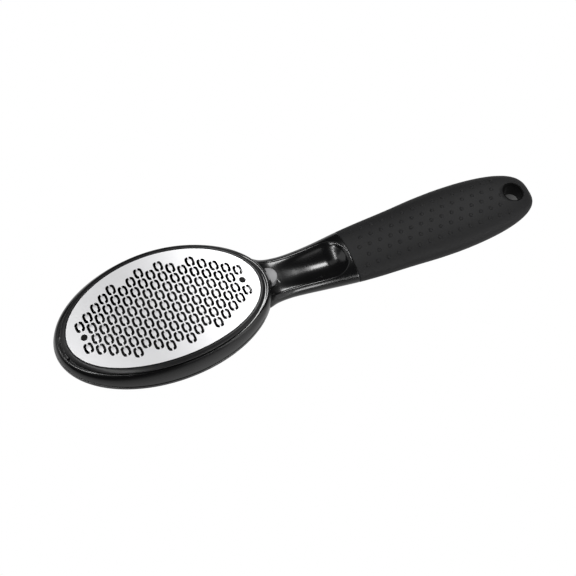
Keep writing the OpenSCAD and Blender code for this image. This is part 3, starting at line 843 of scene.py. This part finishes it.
@dataclass(frozen=True)
class Bezel:
    """The dull rim that carries the plate, with its ribs, bosses, knuckle and catch."""

    lip_w: float = 2.1
    lip_t: float = 1.3
    lip_fall: float = 0.5
    crown_out: float = 1.1
    crown_fall: float = 0.03
    plate_fit: float = 0.25
    skirt_out: float = 0.65
    skirt_h: float = 3.0
    skirt_t: float = 1.6
    ledge_w: float = 1.9
    ledge_t: float = 1.0
    seat_z: float = -0.55
    rib_t: float = 0.8
    rib_h: float = 2.0
    rib_columns: tuple = (-4.5, -1.5, 1.5, 4.5)
    boss_r: float = 2.5
    boss_h: float = 2.9
    hinge_x: float = -43.375
    hinge_down: float = 0.225
    knuckle_r: float = 0.8
    knuckle_half: float = 2.2
    relief_r: float = 1.0
    relief_half: float = 5.2
    catch_x: float = 41.9
    catch_t: float = 1.1
    catch_half: float = 3.0
    catch_low: float = -9.25
    bar: float = 0.6
    window_half: float = 2.2
    window_h: float = 1.0
    edge_runs: tuple = (0.1, 0.0, 0.3, 0.6, 0.15, 0.2, 0.0, 0.2, 0.2, 0.0, 0.2)
    edge_steps: int = 6

    @property
    def hinge_z(self) -> float:
        """Gives the level of the hinge's axis."""
        return LAYOUT.bow(self.hinge_x) - self.lip_t - self.hinge_down

    def _section(self) -> list[Vector]:
        """Gives the rim's section, with its lip rounded."""
        skirt_in = self.skirt_out - self.skirt_t
        corners = [
            (-self.ledge_w, self.seat_z, 1.0), (self.plate_fit, self.seat_z, 1.0),
            (self.plate_fit, 0.0, 1.0), (self.crown_out, -self.crown_fall, 1.0),
            (self.lip_w, -self.lip_fall, 1.0), (self.lip_w, -self.lip_t, 1.0),
            (self.skirt_out, -self.lip_t, 1.0), (self.skirt_out, -self.skirt_h, 1.0),
            (skirt_in, -self.skirt_h, 1.0), (skirt_in, self.seat_z - self.ledge_t, 1.0),
            (-self.ledge_w, self.seat_z - self.ledge_t, 1.0),
        ]
        return rounded(corners, self.edge_runs, steps=self.edge_steps)

    def _ribs(self, bm: Mesh, plate: FilePlate) -> None:
        """Adds the ribs under the plate."""
        for column in self.rib_columns:
            x = plate.column_x(column)
            reach = LAYOUT.half_wid * math.sqrt(1 - (x / LAYOUT.half_len) ** 2) - self.ledge_w / 2
            top = LAYOUT.bow(abs(x) + self.rib_t) + self.seat_z
            half = self.rib_t / 2
            add_box(bm, (x - half, -reach, top - self.rib_h), (x + half, reach, top))

    def _bosses(self, bm: Mesh, plate: FilePlate) -> None:
        """Adds the bosses that the rivets hold to."""
        x = plate.rivet_x
        low = LAYOUT.bow(x) - self.boss_h
        top = LAYOUT.bow(x + self.boss_r) + self.seat_z
        for side in (-1, 1):
            add_rod(bm, (side * x, 0, low), (side * x, 0, top), self.boss_r)
            end = side * (LAYOUT.half_len - self.ledge_w / 2)
            web = LAYOUT.bow(LAYOUT.half_len) + self.seat_z
            half = self.boss_r / 2
            add_box(bm, (min(side * x, end), -half, low), (max(side * x, end), half, web))

    def _catch(self, bm: Mesh) -> None:
        """Adds the catch with the window that the latch's tongue fills."""
        x0, x1 = self.catch_x - self.catch_t, self.catch_x
        top = LAYOUT.bow(self.catch_x) - self.lip_t
        window = self.catch_low + self.bar
        window_top = window + self.window_h
        for low, high in ((self.catch_low, window), (window_top, top)):
            add_box(bm, (x0, -self.catch_half, low), (x1, self.catch_half, high))
        for side in (-1, 1):
            y0, y1 = sorted((side * self.window_half, side * self.catch_half))
            add_box(bm, (x0, y0, window), (x1, y1, window_top))

    def hinge_rod(self, bm: Mesh, start: float, end: float, r: float) -> None:
        """Adds a bar on the hinge's axis, between two places across the file."""
        add_rod(bm, (self.hinge_x, start, self.hinge_z), (self.hinge_x, end, self.hinge_z), r)

    def build(self, workshop: Workshop, plate: FilePlate) -> None:
        """Builds the bezel."""
        bm = sweep_rim(self._section())
        relief = bmesh.new()
        for side in (-1, 1):
            self.hinge_rod(relief, side * self.knuckle_half, side * self.relief_half, self.relief_r)
        bm = carve(bm, relief)
        self._ribs(bm, plate)
        self._bosses(bm, plate)
        self._catch(bm)
        self.hinge_rod(bm, -self.knuckle_half, self.knuckle_half, self.knuckle_r)
        workshop.deliver("bezel_rim", bm, DULL_PLASTIC, Body.LID, "bezel_frame")


@dataclass(frozen=True)
class Scoop:
    """The thumb scoop in the neck's upper side."""

    start: float = 47.15
    end: float = 82.9
    half_wid: float = 8.2
    depth: float = 3.2
    lip_share: float = 0.76
    wall_slope: float = 1.6
    lip_blend: float = 1.7
    wid_shares: tuple = ((0, 0.92), (0.2, 0.86), (0.45, 0.9), (0.75, 1), (1, 1))
    depth_shares: tuple = ((0, 0.2), (0.25, 0.42), (0.6, 0.85), (0.8, 1), (1, 1))

    def level(self, x: float, y: float) -> float:
        """Gives the scoop's level over a place in plan, and a steep wall outside it."""
        share = min(1.0, max(0.0, (x - self.start) / (self.end - self.start)))
        half = self.half_wid * blend_curve(self.wid_shares, share)
        lip = FORM.level(x) + self.lip_share * FORM.thick(x)
        into_bowl = max(0.0, (x - self.end + self.half_wid) / self.half_wid)
        out = math.hypot(y / half, into_bowl)
        if out >= 1:
            return lip + self.wall_slope * (out - 1) * half
        deep = self.depth * blend_curve(self.depth_shares, share)
        return lip - deep * (1 - out * out)


@dataclass(frozen=True)
class Handle:
    """The gloss moulding: the head's wall and the neck with its scoop."""

    scoop: Scoop = Scoop()
    start: float = 38.1
    along: int = 180
    around: int = 272
    wall_steps: int = 16
    far: float = 60.0
    hollow_gap: float = 0.4
    button_x: float = 46.7
    button_r: float = 3.75
    button_low: float = -11.8
    stem_r: float = 2.4
    stem_low: float = -17.0
    tongue_room: tuple = ((0, -2.2, -8.75), (47.7, 2.2, -7.55))
    pocket_room: tuple = ((46.4, -4.75, -60.0), (59.85, 4.75, -16.25))
    latch_fit: float = 0.25
    travel: float = 1.6
    wall_runs: Pair = (0.05, 0.06)
    floor_run: float = 0.3
    arc_steps: int = 32
    end_round: float = 0.35
    end_turns: tuple = (30, 60, 85)
    post_r: float = 2.0
    post_down: float = 3.9
    lug_from: float = 2.4
    lug_to: float = 5.0
    floor_lap: float = 0.01

    def _neck_point(self, x: float, turn: float) -> Vector:
        """Gives a point of the neck's skin, with the scoop taken out."""
        point = FORM.point(x, turn, end_inset(FORM.seam_x - x, self.end_round))
        if math.sin(turn) > 0:
            point.z = soft_min(point.z, self.scoop.level(x, point.y), self.scoop.lip_blend)
        return point

    def _wall_section(self) -> list[Vector]:
        """Gives the section of the head's wall, down to its base."""
        last = LAYOUT.seam_share + (1 - LAYOUT.seam_share) * LAYOUT.edge_share
        shares = [last * k / self.wall_steps for k in range(self.wall_steps + 1)]
        top = (LAYOUT.hollow_out, -LAYOUT.wall_top, 1.0)
        return LAYOUT.shell_section(top, shares, self.wall_runs, self.floor_run)

    def button_outline(self, r: float, grow: float, run: float) -> list[Pair]:
        """Gives the button's D outline in plan, grown by a gap and drawn out by a run."""
        half = r + grow
        turns = [math.radians(180 * k / self.arc_steps - 90) for k in range(self.arc_steps + 1)]
        arc = [(self.button_x + run + half * math.cos(a), half * math.sin(a)) for a in turns]
        return [*arc, (self.button_x - grow, half), (self.button_x - grow, -half)]

    def _head(self) -> Mesh:
        """Builds the head's wall, without the part that the base cover takes up."""
        bm = sweep_rim(self._wall_section())
        low, high = (-self.far, -self.far, -self.far), (FORM.root_x, self.far, LAYOUT.seam_z)
        return carve(bm, add_box(bmesh.new(), low, high))

    def _neck(self) -> Mesh:
        """Builds the neck, without the part inside the head's hollow."""
        length = FORM.seam_x - self.end_round - self.start
        stations = [self.start + length * k / self.along for k in range(self.along + 1)]
        stations += [FORM.seam_x - self.end_round * (1 - math.sin(math.radians(a))) for a in self.end_turns]
        outline = LAYOUT.outline(LAYOUT.hollow_out + self.hollow_gap)
        hollow = prism(outline, LAYOUT.floor_z, self.far)
        return carve(loft(self.around, stations, self._neck_point), hollow)

    def _posts(self, bm: Mesh) -> None:
        """Adds the posts that the base cover's screws bite into."""
        for x, y in LAYOUT.posts():
            top = LAYOUT.bow(x) - self.post_down
            add_rod(bm, (x, y, LAYOUT.floor_z + self.floor_lap), (x, y, top), self.post_r)

    def _lugs(self, bm: Mesh, bezel: Bezel) -> None:
        """Adds the hinge's lugs at the toe."""
        for side in (-1, 1):
            bezel.hinge_rod(bm, side * self.lug_from, side * self.lug_to, bezel.knuckle_r)

    def build(self, workshop: Workshop, bezel: Bezel) -> None:
        """Builds the head and the neck as one moulding."""
        bm = carve(self._head(), self._neck(), Carving.JOIN)
        for r, low, high in (
            (self.button_r, self.button_low - self.latch_fit, 0.0),
            (self.stem_r, self.stem_low, self.button_low),
        ):
            outline = self.button_outline(r, self.latch_fit, self.travel)
            bm = carve(bm, prism(outline, low, high))
        for room in (self.tongue_room, self.pocket_room):
            bm = carve(bm, add_box(bmesh.new(), *room))
        self._posts(bm)
        self._lugs(bm, bezel)
        workshop.deliver("handle_moulding", bm, GLOSS_PLASTIC, Body.HANDLE, "handle_body")


@dataclass(frozen=True)
class BaseCover:
    """The shallow dish that closes the head from below."""

    side_steps: int = 6
    share_steps: int = 400
    seam_round: float = 0.7
    screw_r: float = 1.9
    screw_depth: float = 0.2
    screw_over: float = 1.0

    def _section(self) -> list[Vector]:
        """Gives the section of the cover's rim."""
        top = LAYOUT.seam_z - LAYOUT.seam_gap
        tried = [k / self.share_steps for k in range(self.share_steps)]
        first = next(share for share in tried if LAYOUT.flank(share)[1] >= -top)
        step = (1 - first) * LAYOUT.edge_share / self.side_steps
        shares = [first + k * step for k in range(self.side_steps + 1)]
        return LAYOUT.shell_section((LAYOUT.hollow_out, top, 0.0), shares, (0.0, self.seam_round), 0.0)

    def build(self, workshop: Workshop) -> None:
        """Builds the cover with its screw holes."""
        bm = sweep_rim(self._section())
        floor = prism(LAYOUT.outline(0.0), -LAYOUT.head_depth, LAYOUT.floor_z)
        bm = carve(bm, floor, Carving.JOIN)
        cut = bmesh.ops.bisect_plane(
            bm, geom=everything(bm), plane_co=(LAYOUT.cover_end, 0, 0), plane_no=(1, 0, 0),
            clear_outer=True,
        )["geom_cut"]
        bmesh.ops.edgeloop_fill(bm, edges=picked(cut, Edge))
        holes = bmesh.new()
        low = self.screw_depth - LAYOUT.head_depth
        for x, y in LAYOUT.posts():
            add_rod(holes, (x, y, low - self.screw_over), (x, y, low), self.screw_r)
        bm = carve(bm, holes)
        workshop.deliver("base_cover_dish", bm, GLOSS_PLASTIC, Body.HANDLE, "base_cover")


@dataclass(frozen=True)
class LatchButton:
    """The D-shaped button with its stem, foot and tongue."""

    top: float = -7.6
    height: float = 4.2
    edge: float = 0.45
    edge_steps: int = 3
    stem_r: float = 1.2
    stem_h: float = 2.2
    foot: tuple = ((46.7, -3.4, -16.1), (51.1, 3.4, -14.0))
    tongue: tuple = ((40.8, -1.95, -8.5), (47.2, 1.95, -7.8))

    def build(self, workshop: Workshop, handle: Handle) -> None:
        """Builds the button."""
        low = self.top - self.height
        bm = prism(handle.button_outline(handle.button_r, 0.0, 0.0), low, self.top)
        rim = [e for e in bm.edges if all(v.co.z > low + self.edge for v in e.verts)]
        bmesh.ops.bevel(
            bm, geom=rim, offset=self.edge, segments=self.edge_steps, profile=0.5,
            affect="EDGES", material=-1,
        )
        x = handle.button_x + self.stem_r
        add_rod(bm, (x, 0, low - self.stem_h), (x, 0, low), self.stem_r)
        add_box(bm, *self.foot)
        add_box(bm, *self.tongue)
        workshop.deliver("latch_button_cap", bm, GREY_PLASTIC, Body.LATCH, "latch_button")


@dataclass(frozen=True)
class Grip:
    """The rubber sleeve with its bumps and its hanging hole."""

    along: int = 120
    end_steps: int = 40
    around: int = 128
    start_round: float = 0.4
    start_turns: tuple = (5, 30, 60, 90)
    hole_x: float = 166.9
    bore_r: float = 3.9
    mouth_r: float = 5.0
    flare_from: float = 3.2
    hole_half: float = 4.8
    hole_over: float = 2.2
    bore_edge: float = 0.1
    hole_around: int = 64
    hole_steps: int = 20
    bump_pitch: float = 5.0
    bump_r: float = 0.95
    bump_h: float = 0.38
    bump_reach: float = 0.72
    first_bump: float = 90.0
    last_bump: float = 160.0
    tilt_step: float = 0.2

    def _point(self, x: float, turn: float) -> Vector:
        """Gives a point of the sleeve's skin, rounded at its start."""
        return FORM.point(x, turn, end_inset(x - FORM.seam_x, self.start_round))

    def _stations(self) -> list[float]:
        """Gives the places of the sleeve's rings."""
        starts = [1 - math.cos(math.radians(a)) for a in self.start_turns]
        start = [FORM.seam_x + self.start_round * share for share in starts]
        length = FORM.palm_x - start[-1]
        middle = [start[-1] + length * k / self.along for k in range(1, self.along)]
        turns = [math.radians(90 * k / self.end_steps) for k in range(self.end_steps + 1)]
        return start + middle + [FORM.palm_x + (FORM.tip_x - FORM.palm_x) * math.sin(a) for a in turns]

    def _hole_point(self, z: float, turn: float) -> Vector:
        """Gives a point of the hanging hole's wall, at a height above the middle."""
        out = max(0.0, (z - self.flare_from) / (self.hole_half - self.flare_from))
        r = self.bore_r + (self.mouth_r - self.bore_r) * out**2
        return Vector((self.hole_x + r * math.cos(turn), r * math.sin(turn), z - FORM.drop))

    def _hole(self) -> Mesh:
        """Makes the tool that cuts the hanging hole with its flared upper mouth."""
        half = self.hole_half + self.hole_over
        levels = [half * (2 * k / self.hole_steps - 1) for k in range(self.hole_steps + 1)]
        return loft(self.hole_around, levels, self._hole_point)

    def _bumps(self, bm: Mesh) -> None:
        """Adds rows of low round bumps on the sleeve's upper side."""
        row_step = self.bump_pitch * math.sqrt(3) / 2
        rows = int(FORM.half_wid / row_step) + 1
        count = int((self.last_bump - self.first_bump) / (self.bump_pitch / 2)) + 1
        for j in range(-rows, rows + 1):
            for i in range(count):
                x, y = self.first_bump + i * self.bump_pitch / 2, j * row_step
                if (i + j) % 2 or abs(y) > self.bump_reach * FORM.wid(x):
                    continue
                place = FORM.top_place(x, y, self.tilt_step)
                size = Matrix.Diagonal((self.bump_r, self.bump_r, self.bump_h, 1.0))
                bmesh.ops.create_icosphere(bm, subdivisions=2, radius=1.0, matrix=place @ size)

    def build(self, workshop: Workshop) -> None:
        """Builds the sleeve."""
        bm = carve(loft(self.around, self._stations(), self._point), self._hole())
        # Faces of the hanging hole's wall take the second material, which is painted shade.
        for face in bm.faces:
            away = face.calc_center_median().xy - Vector((self.hole_x, 0))
            face.material_index = int(away.length < self.mouth_r - self.bore_edge)
        self._bumps(bm)
        workshop.deliver("rubber_sleeve", bm, RUBBER, Body.HANDLE, "rubber_grip", BORE_SHADE)


def facing(eye: Triple, right: Vector, up: Vector, back: Vector) -> Matrix:
    """Gives the place of a camera or a light that looks away from its back."""
    return Matrix.Translation(eye) @ Matrix((right, up, back)).transposed().to_4x4()


@dataclass(frozen=True)
class AreaLight:
    """One soft light: the way to it, its size, its brightness and the way its width runs."""

    name: str
    way: Triple
    size: Pair
    brightness: float
    along: Triple = (1.0, 0.0, 0.0)
    distance: float = 1.0

    def hang(self, target: Triple) -> None:
        """Hangs the light and turns it to its target."""
        lamp = bpy.data.lights.new(self.name, "AREA")
        lamp.shape = "RECTANGLE"
        lamp.size, lamp.size_y = self.size
        lamp.energy = math.pi * self.size[0] * self.size[1] * self.brightness
        back = Vector(self.way).normalized()
        up = back.cross(Vector(self.along)).normalized()
        eye = Vector(target) + back * self.distance
        add_object(self.name, lamp, facing(eye, up.cross(back), up, back))


@dataclass(frozen=True)
class Studio:
    """The camera, the pale floor and the soft light of a product photograph."""

    eye: Triple = (-0.163725, -0.233819, 0.527171)
    forward: Triple = (0.26172733, 0.39012153, -0.88278196)
    right: Triple = (0.9046203, -0.41795998, 0.08349589)
    lens: float = 86.9
    sensor: float = 36.0
    nearest: float = 0.01
    target: Triple = (0.0, 0.0, 0.01)
    sky: float = 0.025
    glow_way: Triple = (0.6, 0.8, 0.0)
    glow_reach: Pair = (-0.19, -0.07)
    glow_light: Pair = (0.1, 0.8)
    floor_half: float = 3.0
    floor_colour: tuple[float, ...] = (0.8, 0.8, 0.8, 1.0)
    floor_rough: float = 0.9
    shade_middle: Triple = (0.106, 0.0035, 0.0)
    shade_reach: Pair = (0.004, 0.0065)
    shade_height: float = 0.02
    shade_depth: float = 2.5
    lights: tuple[AreaLight, ...] = (
        AreaLight("key_light", (0.486, 0.373, 0.790), (0.22, 0.24), 21.0),
        AreaLight("back_panel", (-0.10, 0.46, 0.88), (0.6, 0.36), 0.6),
        AreaLight("left_panel", (-0.735, 0.41, 0.54), (0.6, 0.6), 1.0),
        AreaLight("top_light", (-0.47, -0.15, 0.87), (0.05, 1.2), 26.0),
        AreaLight("front_light", (0.385, -0.739, 0.553), (0.22, 0.22), 12.0),
        AreaLight("front_panel", (0.70, -0.56, 0.42), (0.9, 0.9), 1.0, (0.5, 0.6, 0.0)),
        AreaLight("front_low", (0.47, -0.87, 0.17), (0.9, 0.3), 0.6, (1.0, 0.5, 0.0)),
    )

    def set_camera(self) -> None:
        """Places the camera where the photograph was taken."""
        data = bpy.data.cameras.new("photo_camera")
        data.lens = self.lens
        data.sensor_width = self.sensor
        data.clip_start = self.nearest
        back, right = -Vector(self.forward), Vector(self.right)
        place = facing(self.eye, right, back.cross(right), back)
        bpy.context.scene.camera = add_object("photo_camera", data, place)

    def set_sky(self) -> None:
        """Lights the scene evenly from all round."""
        world = bpy.data.worlds.new("studio")
        world.use_nodes = True
        light = world.node_tree.nodes["Background"].inputs
        feed(light["Color"], WHITE)
        feed(light["Strength"], self.sky)
        bpy.context.scene.world = world

    def _floor_light(self, tree: Tree, measure: str, mark: Triple, *levels: object) -> Socket:
        """Gives the strength of a light that changes over the floor.

        Args:
            tree: The floor's nodes.
            measure: How places are measured against the mark, DISTANCE or DOT_PRODUCT.
            mark: The point or the way that places are measured against.
            levels: The two measures between which the light changes, then its strengths.

        Returns:
            The socket with the strength.
        """
        place = node(tree, "ShaderNodeNewGeometry").outputs["Position"]
        measured = node(tree, "ShaderNodeVectorMath", place, mark, operation=measure).outputs["Value"]
        return node(tree, "ShaderNodeMapRange", measured, *levels).outputs["Result"]

    def _floor_paint(self) -> bpy.types.Material:
        """Makes a paint that looks white, with a soft shade in the hanging hole."""
        paint = bpy.data.materials.new("floor_paint")
        paint.use_nodes = True
        tree = paint.node_tree
        shader = tree.nodes["Principled BSDF"]
        feed(shader.inputs["Base Color"], self.floor_colour)
        feed(shader.inputs["Roughness"], self.floor_rough)
        shade = node(tree, "ShaderNodeAmbientOcclusion", Distance=self.shade_height).outputs["AO"]
        deep = node(tree, "ShaderNodeMath", shade, self.shade_depth, operation="POWER").outputs[0]
        light = self._floor_light(tree, "DISTANCE", self.shade_middle, *self.shade_reach, deep)
        white = node(tree, "ShaderNodeEmission", Strength=light).outputs[0]
        light = self._floor_light(tree, "DOT_PRODUCT", self.glow_way, *self.glow_reach, *self.glow_light)
        glow = node(tree, "ShaderNodeEmission", Strength=light).outputs[0]
        rays = node(tree, "ShaderNodeLightPath").outputs
        mirrored = node(tree, "ShaderNodeMixShader", rays["Is Glossy Ray"], shader.outputs[0], glow)
        seen = node(tree, "ShaderNodeMixShader", rays["Is Camera Ray"], mirrored.outputs[0], white)
        feed(tree.nodes["Material Output"].inputs["Surface"], seen.outputs[0])
        return paint

    def lay_floor(self) -> None:
        """Lays the floor."""
        bm = bmesh.new()
        bmesh.ops.create_grid(bm, x_segments=1, y_segments=1, size=self.floor_half)
        floor = mesh_object(bm, "floor")
        floor.data.materials.append(self._floor_paint())

    def build(self) -> None:
        """Sets up the whole studio."""
        self.set_camera()
        self.set_sky()
        self.lay_floor()
        for light in self.lights:
            light.hang(self.target)
        bpy.context.scene.view_settings.view_transform = "Standard"


def main() -> None:
    """Builds the studio and every piece."""
    logging.basicConfig(level=logging.INFO, format="%(name)s: %(message)s")
    Studio().build()
    workshop = Workshop(SurfaceEffects())
    plate, bezel, handle = FilePlate(), Bezel(), Handle()
    plate.build(workshop)
    bezel.build(workshop, plate)
    handle.build(workshop, bezel)
    BaseCover().build(workshop)
    LatchButton().build(workshop, handle)
    Grip().build(workshop)
    for name, finish in (
        ("plate_rivets", RIVET_BLACK), ("hinge_pin", SMALL_STEEL), ("base_screws", SMALL_STEEL),
        ("latch_spring", SMALL_STEEL), ("latch_screw", SMALL_STEEL), ("latch_cover", GLOSS_PLASTIC),
    ):
        workshop.dress(name, finish)


if __name__ == "__main__":
    main()
